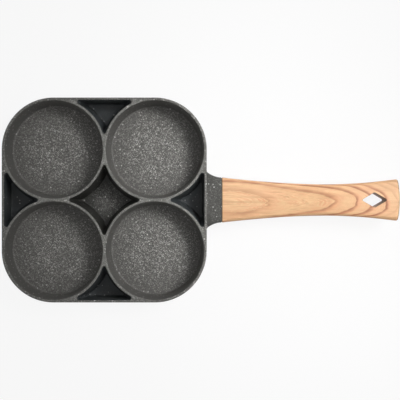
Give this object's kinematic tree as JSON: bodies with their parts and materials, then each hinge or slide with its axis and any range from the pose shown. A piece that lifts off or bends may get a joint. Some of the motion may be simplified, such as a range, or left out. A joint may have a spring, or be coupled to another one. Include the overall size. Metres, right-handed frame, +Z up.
{
  "type": "egg pan",
  "caption": "Square die-cast pan with round egg cups, closed pockets between them and a stone-effect non-stick coat, on a waisted wooden handle with a diamond hanging hole.",
  "frame": {"origin": "centre of the pan body's flat underside", "axes": "+X along the handle, +Z up out of the cups, +Y across the pan"},
  "size_m": [0.3668, 0.19, 0.0368],
  "materials": {
    "stone_coat": "matte",
    "handle_wood": "satin",
    "zinc_steel": "satin"
  },
  "bodies": {
    "root": {"pan_casting": "stone_coat", "handle": "handle_wood", "handle_screw": "zinc_steel", "flat_washer": "zinc_steel", "spring_washer": "zinc_steel"}
  },
  "joints": []
}
